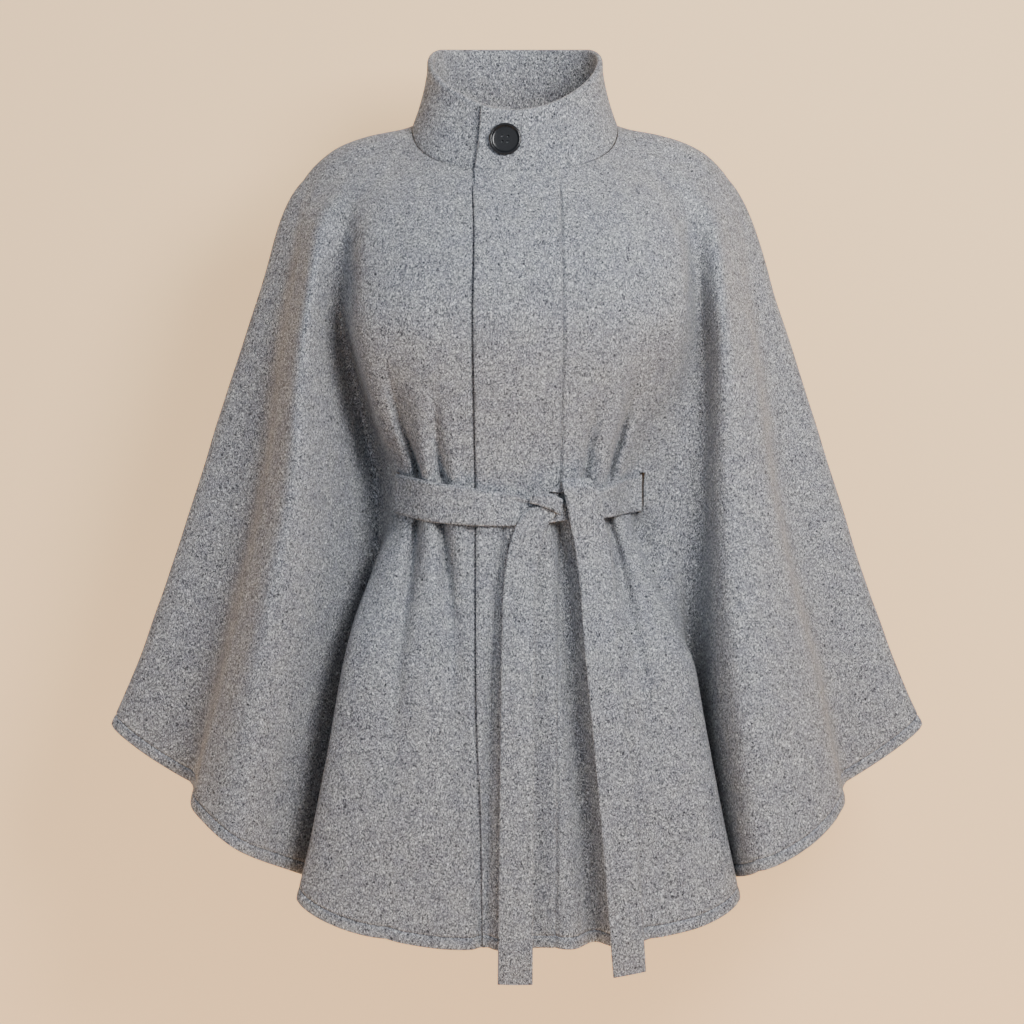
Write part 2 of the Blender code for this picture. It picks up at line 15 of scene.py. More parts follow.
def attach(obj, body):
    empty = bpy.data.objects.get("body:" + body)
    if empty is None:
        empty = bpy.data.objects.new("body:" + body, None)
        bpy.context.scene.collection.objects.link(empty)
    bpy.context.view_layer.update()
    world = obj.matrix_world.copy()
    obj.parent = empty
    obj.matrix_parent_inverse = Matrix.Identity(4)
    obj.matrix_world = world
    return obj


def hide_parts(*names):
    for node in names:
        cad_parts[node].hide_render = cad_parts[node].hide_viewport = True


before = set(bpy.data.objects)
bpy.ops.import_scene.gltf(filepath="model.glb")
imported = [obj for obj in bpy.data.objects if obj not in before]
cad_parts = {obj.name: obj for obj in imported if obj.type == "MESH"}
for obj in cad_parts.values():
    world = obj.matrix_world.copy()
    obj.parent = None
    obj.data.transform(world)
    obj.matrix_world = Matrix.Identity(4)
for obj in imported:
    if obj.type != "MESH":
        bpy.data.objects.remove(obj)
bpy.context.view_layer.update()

MM = 0.001

# Sizes shared with the solids
CLOTH = 2.0 * MM
DOUBLED_CLOTH = 3.5 * MM
SEAM_GAP = 0.3 * MM
BELT_THICKNESS = 4.0 * MM
COLLAR_THICKNESS = 6.0 * MM
BUTTON_DIAMETER = 31 * MM
BUTTON_THICKNESS = 4.2 * MM
BUTTON_STAND = 1.2 * MM
YOKE_RISE, YOKE_SPREAD = 9.2 * MM, 2.5

CHEST, WAIST, HIP = -160 * MM, -346 * MM, -518 * MM

NECK_MIDDLE = -3 * MM
NECK_HALF_WIDTH = 101 * MM
NECK_FRONT, NECK_BACK = -87 * MM, 72 * MM
NECK_FRONT_Z, NECK_SIDE_Z, NECK_BACK_Z = -28 * MM, 10 * MM, 25 * MM

# The drape, in mm, for one side. out is away from the middle, deep is towards the back.
# name, neck angle, shoulder (out, deep, z), chest (out, deep), waist (out, deep), hip (out, deep),
# hem (out, deep, z)
FRONT_RAYS = (
    ("placket_line", 22.4, (39, -118, -84), (40, -138), (38, -99), (38, -135), (35, -160, -775)),
    ("front_middle", 43, (89, -110, -79), (101, -130), (82, -88), (103, -130), (129, -150, -767)),
    ("body_edge", 58, (139, -81, -68), (147, -103), (114, -46), (167, -100), (217, -112, -740)),
    ("fold_bottom", 68, (159, -57, -60), (175, -40), (142, 8), (154, -4), (200, -34, -742)),
    ("wing_ridge", 76, (175, -45, -51), (202, -84), (218, -102), (250, -114), (278, -120, -684)),
    ("flange_lip", 82, (190, -25, -44), (219, -58), (246, -71), (286, -80), (320, -86, -655)),
    ("flange_crease", 86, (200, -12, -42), (231, -30), (262, -34), (304, -36), (330, -31, -638)),
    ("over_arm_seam", 92, (213, 10, -40), (260, 0), (321, 0), (381, 0), (411, 0, -586)),
)
BACK_RAYS = (
    ("back_flange", 99, (203, 32, -43), (244, 40), (286, 50), (332, 56), (356, 60, -640)),
    ("back_wing", 110, (176, 58, -50), (204, 92), (236, 118), (268, 134), (292, 146, -700)),
    ("back_flute", 126, (140, 80, -56), (150, 110), (162, 116), (180, 124), (198, 132, -742)),
    ("back_middle", 150, (85, 98, -58), (90, 134), (94, 154), (102, 176), (114, 196, -774)),
)
CENTRE_FRONT = ("centre_front", 0, (0, -121, -86), (0, -141), (0, -101), (0, -139), (0, -163, -777))
CENTRE_BACK = ("centre_back", 180, (0, 104, -58), (0, 138), (0, 148), (0, 160), (0, 170, -784))
RIGHT_RAYS = {
    "placket_line": (25.2, (42, -118, -84), (43, -138), (41, -99), (39, -135), (36, -160, -775)),
    "body_edge": (58, (139, -81, -68), (157, -103), (114, -46), (167, -100), (217, -112, -740)),
    "fold_bottom": (68, (160, -57, -60), (176, -56), (171, -34), (172, -16), (204, -34, -736)),
    "wing_ridge": (76, (176, -45, -51), (196, -88), (203, -88), (215, -120), (234, -130, -705)),
    "over_arm_seam": (92, (209, 10, -39), (256, 0), (318, 0), (378, 0), (409, 0, -586)),
}

# Gathers that the belt pinches, in mm. place is counted in rays from the centre front, station
# in sections from the neck; a negative depth is a ridge.
# side, place at belt, place at far end, station at belt, station at far end, depth, half width
GATHERS = (
    (-1, 2.56, 2.58, 2.95, 2.15, 5, 0.15),
    (-1, 1.82, 1.78, 2.95, 2.40, 5, 0.18),
    (1, 2.30, 2.76, 2.95, 2.20, 5, 0.15),
    (1, 1.66, 1.58, 2.95, 2.35, 5, 0.20),
    (-1, 2.52, 2.20, 3.05, 4.10, 5, 0.16),
    (-1, 1.82, 1.36, 3.05, 4.00, 6, 0.20),
    (1, 2.24, 2.28, 3.05, 4.05, 6, 0.16),
    (1, 3.16, 3.34, 3.22, 4.00, 22, 0.17),
    (-1, 3.05, 3.00, 2.60, 1.60, -11, 0.40),
    (-1, 3.00, 3.00, 3.40, 4.40, -8, 0.40),
    (1, 3.00, 2.90, 3.40, 4.40, -7, 0.40),
    (-1, 10.6, 10.4, 2.95, 1.90, 9, 0.22),
    (-1, 11.7, 11.6, 2.95, 2.10, 7, 0.20),
    (1, 10.7, 10.5, 2.95, 1.95, 8, 0.22),
    (1, 12.0, 11.9, 2.95, 2.20, 7, 0.20),
)

# Softer creases of the front, in mm, each through points (out, z, depth, half width). They press
# straight back. A negative depth is a ridge. They fade where their depth is 0.
CREASES = (
    (
        (-98, -322, 12, 2.6), (-103, -303, 12, 2.8), (-114, -274, 10, 3.4),
        (-120, -246, 6, 4.4), (-124, -215, 0, 6.0),
    ),
    ((-110, -322, -3, 3.6), (-119, -285, -3, 4.5), (-130, -236, 0, 6)),
    ((-89, -326, -3, 4.5), (-94, -290, -2.5, 6), (-98, -240, 0, 8)),
    ((-74, -325, 10, 3.0), (-77, -303, 9, 3.4), (-79, -274, 6, 4.5), (-80, -240, 3, 6.0), (-81, -205, 0, 8)),
    ((-62, -330, -2.5, 5), (-64, -295, -1.5, 7), (-66, -260, 0, 9)),
    ((-50, -332, 2.5, 4), (-52, -305, 1.5, 6), (-54, -275, 0, 8)),
    ((89, -326, 14, 2.6), (94, -305, 14, 3.0), (102, -276, 12, 3.6), (108, -246, 8, 4.6), (116, -200, 0, 7)),
    ((99, -326, -3.5, 4), (109, -290, -3, 5), (121, -245, 0, 7)),
    ((78, -332, -2.5, 4), (82, -300, -2, 5.5), (86, -262, 0, 7)),
    ((63, -335, 10, 3.2), (67, -305, 9, 3.8), (71, -276, 7, 5.0), (78, -246, 4, 7.0), (84, -206, 0, 9)),
    ((113, -328, 3, 3.5), (122, -300, 2.5, 5), (134, -262, 0, 8)),
    (
        (-98, -364, 12, 3), (-103, -400, 12, 4.5), (-109, -441, 10, 6),
        (-117, -500, 7, 8), (-124, -580, 3, 11), (-130, -640, 0, 14),
    ),
    ((-111, -366, -2.5, 4), (-121, -410, -2, 6), (-133, -480, 0, 10)),
    ((-88, -368, -3, 5), (-88, -410, -2.5, 7), (-88, -480, 0, 10)),
    (
        (-75, -366, 12, 3.4), (-70, -402, 12, 4.4), (-67, -441, 9, 6.0),
        (-63, -500, 6, 9), (-60, -570, 3, 12), (-58, -640, 0, 14),
    ),
    ((-61, -369, -2, 5), (-55, -420, -1.5, 8), (-50, -500, 0, 11)),
    ((-47, -370, 3, 3.5), (-46, -410, 2, 6), (-45, -470, 0, 9)),
    (
        (88, -362, 13, 3), (92, -380, 13, 3.8), (98, -402, 12, 5), (106, -441, 10, 6.4),
        (118, -500, 7, 9), (128, -570, 3, 12), (138, -640, 0, 14),
    ),
    ((103, -364, -2.5, 4), (116, -400, -2, 6), (134, -470, 0, 9)),
    ((112, -364, 3, 3), (126, -396, 2.5, 5), (146, -450, 0, 8)),
    ((-14, -372, 7, 4), (-22, -441, 11, 6), (-26, -540, 12, 7), (-29, -640, 12, 8), (-30, -785, 11, 8)),
    ((38, -366, 14, 6), (44, -400, 24, 9), (49, -474, 30, 12), (64, -640, 30, 13), (75, -785, 28, 13)),
    ((18, -400, 6, 12), (16, -480, 13, 20), (15, -640, 14, 22), (13, -785, 14, 22)),
    ((-80, -560, 2, 14), (-92, -680, 3, 20), (-98, -775, 3, 22)),
    ((124, -560, 2, 12), (140, -680, 3, 16), (152, -770, 3, 20)),
    (
        (-176, -150, 0, 8), (-166, -210, 8, 10), (-157, -270, 12, 12),
        (-146, -340, 12, 12), (-143, -400, 6, 10), (-146, -470, 0, 8),
    ),
    (
        (176, -130, 0, 8), (182, -200, 8, 8), (186, -300, 11, 8),
        (185, -400, 9, 8), (187, -500, 6, 8), (191, -590, 0, 8),
    ),
)

# The sewn edge of the placket sinks in: how deep, and how wide as a share of the way between rays
SEAM_GROOVE, SEAM_GROOVE_SHARE = 2.4 * MM, 0.035
# The left front sinks in along the placket's free edge
LAP_GROOVE, LAP_GROOVE_PLACE, LAP_GROOVE_SHARE = 3.4 * MM, 1.05, 0.045

# Soft cloth is uneven by so much, slowly and more quickly
SLOW_SOFTNESS, QUICK_SOFTNESS = 2.2 * MM, 0.7 * MM

# The hem swings lower between some rays: side, ray it starts from, drop in mm
HEM_SWINGS = (
    (-1, 1, 3),
    (-1, 2, 5),
    (-1, 7, 7),
    (-1, 8, 2),
    (1, 1, 3),
    (1, 2, 5),
    (1, 5, 8),
    (1, 7, 7),
    (1, 8, 2),
)

# Rows of the cloth: shares of the way from one station to the next
ROW_STEPS = (
    (0, 0.25, 0.5, 0.75),
    (0, 0.2, 0.43, 0.7),
    (0, 0.25, 0.5, 0.7, 0.882),
    (0, 0.108, 0.3, 0.5, 0.75),
)
SLIT_STATIONS = (2.882, 3.108)
SLIT_SHARES = (0.1, 0.2)
FINER_ROWS = 4
SKIRT_ROWS = 16
# The last rows lie at these distances above the hem, in mm, closer where the stitched fold is
HEM_ROWS = (26, 20, 16.5, 14.5, 13.3, 12.6, 12, 11.4, 10.7, 9, 6, 3.5, 1.8, 0.8, 0.25, 0)
HEM_STITCH = 12 * MM
STITCH_PITCH, STITCH_LENGTH, STITCH_RADIUS, STITCH_SIDES = 4.2 * MM, 3.0 * MM, 0.32 * MM, 5
# The hem's edge is rounded over this height, to this share of the cloth. Its stitches sink in by a
# groove, and the cloth swells below them. Folded up, it is thicker by so much
HEM_EDGE, HEM_EDGE_SHARE = 1.6 * MM, 0.25
HEM_GROOVE, HEM_GROOVE_HALF_WIDTH = 1.0 * MM, 0.9 * MM
HEM_SWELL, HEM_SWELL_HEIGHT, HEM_SWELL_HALF_WIDTH = 0.5 * MM, 5 * MM, 3 * MM
HEM_FOLD = 1.2 * MM

COLUMN_STEPS = (
    (0, 0.33, 0.67, 0.94),
    (0, 0.05, 0.25, 0.5, 0.75),
    (0, 0.14, 0.28, 0.43, 0.57, 0.71, 0.86),
    (0, *SLIT_SHARES, 0.43, 0.62, 0.81),
    (0, 0.25, 0.5, 0.75),
    (0, 0.33, 0.67),
    (0, 0.5),
    (0, 0.33, 0.67),
    (0, 0.33, 0.67),
    (0, 0.33, 0.67),
    (0, 0.33, 0.67),
    (0, 0.33, 0.67),
    (0, 0.33, 0.67),
)
# Each span of the ring is divided more finely, most where the gathers are
FINER_COLUMNS = (4, 6, 6, 5, 4, 3, 4, 3, 3, 3, 3, 3, 3)
HALF_RING = len(COLUMN_STEPS)
RING = 2 * HALF_RING

# The collar
RIM_HALF_WIDTH = 84 * MM
RIM_FRONT, RIM_BACK = -76 * MM, 64 * MM
RIM_FRONT_Z, RIM_BACK_Z = 31 * MM, 88 * MM
RIM_RISE_ANGLE = 120
COLLAR_WAIST = 3 * MM
COLLAR_LAP_LIFT = 3 * MM
COLLAR_SWELL = 0.9 * MM
COLLAR_ROLL = 0.8 * MM
COLLAR_UNDER_END = -0.5
COLLAR_BASE_LEAN, COLLAR_BASE_SHARE = 0.55, 0.25
COLLAR_RIM_ROUND, COLLAR_SEAM_ROUND = 3.6 * MM, 1.6 * MM
# Rows of the collar: shares of its height
COLLAR_ROWS = (
    0, 0.012, 0.03, 0.06, 0.12, 0.2, 0.3, 0.4, 0.5, 0.6, 0.7, 0.78, 0.84, 0.885, 0.92, 0.95, 0.975, 0.99, 1.0,
)

# The belt's edges along the front, in mm: out from the middle, top, bottom
BELT_EDGES = (
    (-130, -325, -363),
    (-98, -325, -366),
    (-41, -331, -369),
    (-4, -337, -369),
    (20, -345, -367),
    (46, -346, -364),
    (75, -334, -363),
    (92, -328, -363),
    (130, -325, -363),
)
BELT_CLEARANCE = 1.0 * MM
BELT_INSIDE = (
    (-114, -35), (-106, -14), (-103, 10), (-96, 42), (-66, 74), (0, 88),
    (66, 76), (103, 46), (117, 12), (119, -12), (121, -32),
)

# Strips of the belt, in mm: left edge (out, z), right edge (out, z), stand-off of the middle
LEFT_TAIL = (
    ((22, -347), (40, -353), 11.6),
    ((7, -353), (29, -366), 12.0),
    ((-3, -369), (23, -382), 11.0),
    ((-11, -398), (20, -401), 9.0),
    ((-14, -423), (16, -427), 7.5),
    ((-16, -474), (16, -474), 7.5),
    ((-18, -628), (15, -628), 7.5),
    ((-20, -807), (14, -807), 8.0),
)
RIGHT_TAIL = (
    ((30, -335), (55, -338), 3.2),
    ((39, -328), (67, -329), 4.0),
    ((41, -323), (70, -324), 7.8),
    ((43, -330), (74, -330), 13.2),
    ((46, -344), (80, -341), 14.0),
    ((49, -360), (83, -362), 13.6),
    ((55, -390), (89, -390), 10.0),
    ((60, -430), (92, -426), 8.0),
    ((63, -474), (95, -474), 7.5),
    ((79, -646), (114, -646), 7.5),
    ((92, -802), (124, -797), 8.0),
)
KNOT = (
    ((12, -338), (11, -345), 10.4),
    ((22, -336), (21, -347), 15.6),
    ((33, -336), (31, -351), 16.2),
    ((43, -341), (41, -357), 15.0),
)

BUTTON_PLACE, BUTTON_HEIGHT = 0.26, 0.51
BUTTON_HOLE_DIAMETER, BUTTON_HOLE_SPACING = 2.4 * MM, 5.2 * MM
BUTTON_SIDES, BUTTON_HOLE_SIDES = 96, 24
# The turned button from its back to the middle of its face: share of the radius, share of the thickness
BUTTON_PROFILE = (
    (0.84, 0.00), (0.90, 0.02), (0.95, 0.08), (0.985, 0.2), (1.00, 0.4), (1.00, 0.6),
    (0.99, 0.78), (0.965, 0.92), (0.93, 0.99), (0.89, 1.00), (0.855, 0.96), (0.83, 0.86),
    (0.81, 0.72), (0.79, 0.62), (0.76, 0.57), (0.70, 0.55), (0.55, 0.5), (0.3, 0.47), (0.1, 0.46),
)


def smooth(t):
    t = np.clip(t, 0.0, 1.0)
    return t * t * (3 - 2 * t)


def spline(points, places, closed=False):
    """A centripetal curve through the points, read at places such as 2.25: a quarter past point 2."""
    points = np.asarray(points, float)
    count = len(points)
    after = np.roll(points, -1, axis=0)
    steps = np.sqrt(np.maximum(np.linalg.norm(after - points, axis=1), 1e-9))[:, None]
    slopes = (after - points) / steps
    before_steps, before_slopes = np.roll(steps, 1, axis=0), np.roll(slopes, 1, axis=0)
    tangents = (before_slopes * steps + slopes * before_steps) / (steps + before_steps)
    if not closed:
        tangents[0], tangents[-1] = slopes[0], slopes[-2]
    places = np.asarray(places, float)
    whole = np.floor(places).astype(int)
    start = whole % count if closed else np.clip(whole, 0, count - 2)
    t = (places - whole if closed else places - start)[:, None]
    end = (start + 1) % count
    step = steps[start]
    return (
        (2 * t**3 - 3 * t**2 + 1) * points[start]
        + (t**3 - 2 * t**2 + t) * step * tangents[start]
        + (3 * t**2 - 2 * t**3) * points[end]
        + (t**3 - t**2) * step * tangents[end]
    )


def neck_point(degrees, side):
    angle = math.radians(degrees)
    middle, half = (NECK_BACK + NECK_FRONT) / 2, (NECK_BACK - NECK_FRONT) / 2
    if degrees < 90:
        z = NECK_FRONT_Z + (NECK_SIDE_Z - NECK_FRONT_Z) * (degrees / 90) ** 2.2
    else:
        left = 1 - (degrees - 90) / 90
        z = NECK_SIDE_Z + (NECK_BACK_Z - NECK_SIDE_Z) * (1 - left**2.4)
    return (NECK_MIDDLE + side * NECK_HALF_WIDTH * math.sin(angle), middle - half * math.cos(angle), z)


def ray_points(row, side):
    name, angle, shoulder, chest, waist, hip, hem = row
    if side > 0 and name in RIGHT_RAYS:
        angle, shoulder, chest, waist, hip, hem = RIGHT_RAYS[name]
    points = [neck_point(angle, side)]
    levels = (*chest, CHEST / MM), (*waist, WAIST / MM), (*hip, HIP / MM)
    for out, deep, z in (shoulder, *levels, hem):
        points.append((side * out * MM, deep * MM, z * MM))
    return points


def ring_of_rays():
    side_rows = FRONT_RAYS + BACK_RAYS
    ring = [(CENTRE_FRONT, -1)]
    ring += [(row, -1) for row in side_rows]
    ring += [(CENTRE_BACK, 1)]
    ring += [(row, 1) for row in reversed(side_rows)]
    return [ray_points(row, side) for row, side in ring]


def divided(values, parts):
    """The values with parts - 1 more between each two."""
    fine = []
    for a, b in zip(values, values[1:]):
        fine += [a + (b - a) * i / parts for i in range(parts)]
    return fine + [values[-1]]


def column_places():
    left = []
    for span, shares in enumerate(COLUMN_STEPS):
        left += divided([span + share for share in (*shares, 1)], FINER_COLUMNS[span])[:-1]
    right = [RING - place for place in reversed(left[1:])]
    return np.array(left + [HALF_RING] + right)


def side_places(places):
    """(sides, rays from the centre front) of places on the ring."""
    return np.where(places <= HALF_RING, -1, 1), np.where(places <= HALF_RING, places, RING - places)


def gather_depth(sides, places, stations):
    depth = np.zeros(np.broadcast(places, stations).shape)
    for fold_side, at_belt, at_end, belt, end, deep, half_width in GATHERS:
        share = (stations - belt) / (end - belt)
        past = np.clip(share, 0, None)
        centre = at_belt + (at_end - at_belt) * past
        faded = smooth((1 - past) * 1.25) * smooth(1 + share * 4) * (share <= 1)
        wide = half_width * (1 + 0.8 * past)
        fold = deep * MM * faded * np.exp(-(((places - centre) / wide) ** 2))
        depth += np.where(sides == fold_side, fold, 0)
    return depth


def hem_swing(sides, places, stations):
    drop = np.zeros(np.broadcast(places, stations).shape)
    for swing_side, ray, most in HEM_SWINGS:
        share = places - ray
        here = (sides == swing_side) & (share > 0) & (share < 1) & (stations > 4)
        drop += np.where(here, most * MM * 4 * share * (1 - share) * (stations - 4) ** 2, 0)
    return drop


def crease_grid(points):
    """How far back the creases of the front press each point of a grid."""
    depth = np.zeros(points.shape[:2])
    flat = points[:, :, (0, 2)]
    for crease in CREASES:
        nearest = np.full(depth.shape, 1e9)
        pressed = np.zeros(depth.shape)
        for (x0, z0, deep0, half0), (x1, z1, deep1, half1) in zip(crease, crease[1:]):
            start, run = np.array((x0, z0)) * MM, np.array((x1 - x0, z1 - z0)) * MM
            t = np.clip(((flat - start) @ run) / (run @ run), 0, 1)
            away = np.linalg.norm(flat - start - run * t[:, :, None], axis=2) / MM
            away = away / (half0 + (half1 - half0) * t)
            here = (deep0 + (deep1 - deep0) * t) * MM * np.exp(-(away**2))
            pressed = np.where(away < nearest, here, pressed)
            nearest = np.minimum(away, nearest)
        depth += pressed
    return depth


class Drape:
    """The outer face of the cloth as a fine grid: points, outward normals and heights above the hem."""

    def __init__(self):
        self.columns = column_places()
        sides, places = side_places(self.columns)
        steps = [station + share for station, shares in enumerate(ROW_STEPS) for share in shares] + [4]
        upper = divided(steps, FINER_ROWS)
        dense = np.concatenate([np.array(upper), 4 + np.arange(1, 97) / 96])
        rays = []
        for i, points in enumerate(ring_of_rays()):
            ray = spline(points, dense)
            place = side_places(np.array([i]))[1][0]
            seam = math.exp(-(((place - len(FRONT_RAYS)) / YOKE_SPREAD) ** 2))
            ray[:, 2] += np.where(dense < 1, YOKE_RISE * seam * 4 * dense * (1 - dense), 0)
            rays.append(ray)
        rings = [spline([ray[r] for ray in rays], self.columns, closed=True) for r in range(len(dense))]
        grid = np.array(rings)
        grid[:, :, 2] -= hem_swing(sides[None], places[None], dense[:, None])
        self.upper_rows, self.rows_above = len(upper), np.array(upper)
        self.points = self.to_rows(grid, dense)
        self.plain_points = self.points.copy()
        self.plain_normals = self.normals_of(self.points)
        depth = gather_depth(sides[None], places[None], self.stations)
        depth += self.softness(places)
        seam = SEAM_GROOVE * np.exp(-(((places - 1) / SEAM_GROOVE_SHARE) ** 2)) * (sides > 0)
        lap = LAP_GROOVE * np.exp(-(((places - LAP_GROOVE_PLACE) / LAP_GROOVE_SHARE) ** 2)) * (sides < 0)
        depth += (seam + lap)[None] * (self.stations > 0.3)
        self.points = self.points - self.plain_normals * depth[:, :, None]
        self.points[:, :, 1] += crease_grid(self.points) * smooth((4.7 - places) / 0.4)[None]
        self.normals = self.normals_of(self.points)

    def to_rows(self, grid, dense):
        """Below the hips the rows follow the hem, at the same heights above it all round."""
        above = self.upper_rows
        lengths = np.linalg.norm(np.diff(grid, axis=0), axis=2)
        to_hem = np.concatenate([np.cumsum(lengths[::-1], axis=0)[::-1], np.zeros((1, grid.shape[1]))])
        hem = np.array(HEM_ROWS) * MM
        columns, stations, heights = [], [], []
        for c in range(grid.shape[1]):
            spare = np.linspace(to_hem[above - 1, c], hem[0], SKIRT_ROWS + 1)[1:-1]
            wanted = np.concatenate([to_hem[:above, c], spare, hem])
            curve, here = grid[:, c], to_hem[:, c]
            columns.append([np.interp(-wanted, -here, curve[:, axis]) for axis in (0, 1, 2)])
            stations.append(np.interp(-wanted, -here, dense))
            heights.append(wanted)
        self.stations = np.array(stations).T
        self.heights = np.array(heights).T
        return np.array(columns).transpose(2, 0, 1)

    def softness(self, places):
        """Slow unevenness of soft cloth, longer down the cloth than across it. It fades at the seams."""
        depth = np.zeros(self.points.shape[:2])
        for r in range(depth.shape[0]):
            for c in range(depth.shape[1]):
                x, y, z = self.points[r, c]
                slow = noise(Vector((x * 16, y * 16, z * 6 + 3.1)))
                quick = noise(Vector((x * 42, y * 42 + 7.7, z * 17)))
                depth[r, c] = SLOW_SOFTNESS * slow + QUICK_SOFTNESS * quick
        fade = smooth(self.stations / 0.8) * smooth((np.abs(places[None] - 1)) / 0.8)
        near_belt = smooth((np.abs(self.stations - 3) - 0.1) / 0.3)
        return depth * fade * near_belt

    @staticmethod
    def normals_of(points):
        along = np.roll(points, -1, axis=1) - np.roll(points, 1, axis=1)
        down = np.gradient(points, axis=0)
        normals = np.cross(along, down)
        return normals / np.linalg.norm(normals, axis=2)[:, :, None]

    def column(self, place):
        return int(np.argmin(np.abs(self.columns - place)))

    def row(self, station):
        return int(np.argmin(np.abs(self.rows_above - station)))

    def plain_at(self, column, z):
        heights = self.plain_points[:, column, 2]
        point = [np.interp(-z, -heights, self.plain_points[:, column, axis]) for axis in (0, 1, 2)]
        normal = [np.interp(-z, -heights, self.plain_normals[:, column, axis]) for axis in (0, 1, 2)]
        return np.array(point), np.array(normal)

    def front_at(self, out, z):
        last = self.column(3)
        front = [c % len(self.columns) for c in range(last, -last - 1, -2)]
        met = [self.plain_at(c, z)[0] for c in front]
        return float(np.interp(out, [p[0] for p in met], [p[1] for p in met]))


def add_mesh(name, vertices, faces, material, sharp=40):
    mesh = bpy.data.meshes.new(name)
    mesh.from_pydata([tuple(v) for v in vertices], [], faces)
    mesh.shade_smooth()
    mesh.set_sharp_from_angle(angle=math.radians(sharp))
    mesh.materials.append(material)
    made = bpy.data.objects.new(name, mesh)
    bpy.context.scene.collection.objects.link(made)
    return made


def wall(name, outer, inner, material, holes=(), ring=False):
    """A closed sheet between two grids of points. holes lists (row, column) cells left out."""
    rows, columns = outer.shape[:2]
    count = rows * columns
    holes = set(holes)

    def at(r, c, layer=0):
        return layer * count + r * columns + c % columns

    def solid(r, c):
        return 0 <= r < rows - 1 and (ring or 0 <= c < columns - 1) and (r, c) not in holes

    faces = []
    for r in range(rows - 1):
        for c in range(columns if ring else columns - 1):
            if not solid(r, c):
                continue
            corners = (r, c), (r, c + 1), (r + 1, c + 1), (r + 1, c)
            beyond = (r - 1, c), (r, c + 1), (r + 1, c), (r, c - 1)
            faces.append([at(*corner) for corner in corners])
            faces.append([at(*corner, 1) for corner in reversed(corners)])
            for edge in range(4):
                if not solid(*beyond[edge]):
                    a, b = corners[edge], corners[(edge + 1) % 4]
                    faces.append([at(*b), at(*a), at(*a, 1), at(*b, 1)])
    vertices = np.concatenate([outer.reshape(-1, 3), inner.reshape(-1, 3)])
    used = sorted({i for face in faces for i in face})
    number = {old: new for new, old in enumerate(used)}
    faces = [[number[i] for i in face] for face in faces]
    return add_mesh(name, vertices[used], faces, material)


def hem_shape(heights):
    """(thickness share, groove) near the hem: a folded edge, rounded, with a line of stitches."""
    edge = np.clip(heights / HEM_EDGE, 0, 1)
    share = HEM_EDGE_SHARE + (1 - HEM_EDGE_SHARE) * np.sqrt(1 - (1 - edge) ** 2)
    groove = HEM_GROOVE * np.exp(-(((heights - HEM_STITCH) / HEM_GROOVE_HALF_WIDTH) ** 2))
    swell = HEM_SWELL * np.exp(-(((heights - HEM_SWELL_HEIGHT) / HEM_SWELL_HALF_WIDTH) ** 2))
    return share, groove - swell


def panel(name, drape, columns, lifts, thickness, material, holes=()):
    """A piece of the drape, lifted off it by lifts (one per column), with a folded hem."""
    points, normals = drape.points[:, columns], drape.normals[:, columns]
    heights = drape.heights[:, columns]
    share, groove = hem_shape(heights)
    folded = thickness + HEM_FOLD * smooth((HEM_STITCH * 1.3 - heights) / (2 * MM))
    middle = np.asarray(lifts)[None] - thickness / 2
    outer = points + normals * (middle + thickness / 2 * share - groove)[:, :, None]
    inner = points + normals * (middle - (folded - thickness / 2) * share)[:, :, None]
    outer, inner = trimmed(outer), trimmed(inner)
    return wall(name, outer, inner, material, holes)


def trimmed(points):
    points = points.copy()

    def draw_back(edge, inside):
        step = inside - edge
        return edge + step / np.linalg.norm(step, axis=1)[:, None] * SEAM_GAP / 2

    points[:, 0] = draw_back(points[:, 0], points[:, 1])
    points[:, -1] = draw_back(points[:, -1], points[:, -2])
    points[0] = draw_back(points[0], points[1])
    return points


def placket_lift(share):
    return (DOUBLED_CLOTH + SEAM_GAP) * (1 - share)


def slit_cells(drape, columns, side):
    places = [3 + share if side < 0 else RING - 3 - share for share in SLIT_SHARES]
    ends = sorted(columns.index(drape.column(place)) for place in places)
    top, bottom = (drape.row(station) for station in SLIT_STATIONS)
    return [(r, c) for r in range(top, bottom) for c in range(*ends)]


def build_cloth(drape, material):
    total = len(drape.columns)
    free_edge, far_edge = drape.column(1), drape.column(RING - 1)
    seam_left, seam_right = drape.column(len(FRONT_RAYS)), drape.column(RING - len(FRONT_RAYS))
    across = [c % total for c in range(far_edge, total + free_edge + 1)][::-1]
    shares = [i / (len(across) - 1) for i in range(len(across))]
    lifts = [placket_lift(share) for share in shares]
    placket = panel("placket_cloth", drape, across[::-1], lifts[::-1], DOUBLED_CLOTH, material)

    under = len(across) // 2
    left_columns = across[:under][::-1][:-1] + list(range(free_edge, seam_left + 1))
    left_lifts = [placket_lift(shares[i]) - placket_lift(0) for i in range(under)][::-1][:-1]
    left_lifts += [0.0] * (seam_left - free_edge + 1)
    slit = slit_cells(drape, left_columns, -1)
    front_left = panel("front_left_cloth", drape, left_columns, left_lifts, CLOTH, material, slit)

    right_columns = list(range(seam_right, far_edge + 1))
    slit = slit_cells(drape, right_columns, 1)
    right_lifts = [0.0] * len(right_columns)
    front_right = panel("front_right_cloth", drape, right_columns, right_lifts, CLOTH, material, slit)

    back_columns = list(range(seam_left, seam_right + 1))
    back = panel("back_cloth", drape, back_columns, [0.0] * len(back_columns), CLOTH, material)
    return placket, front_left, front_right, back


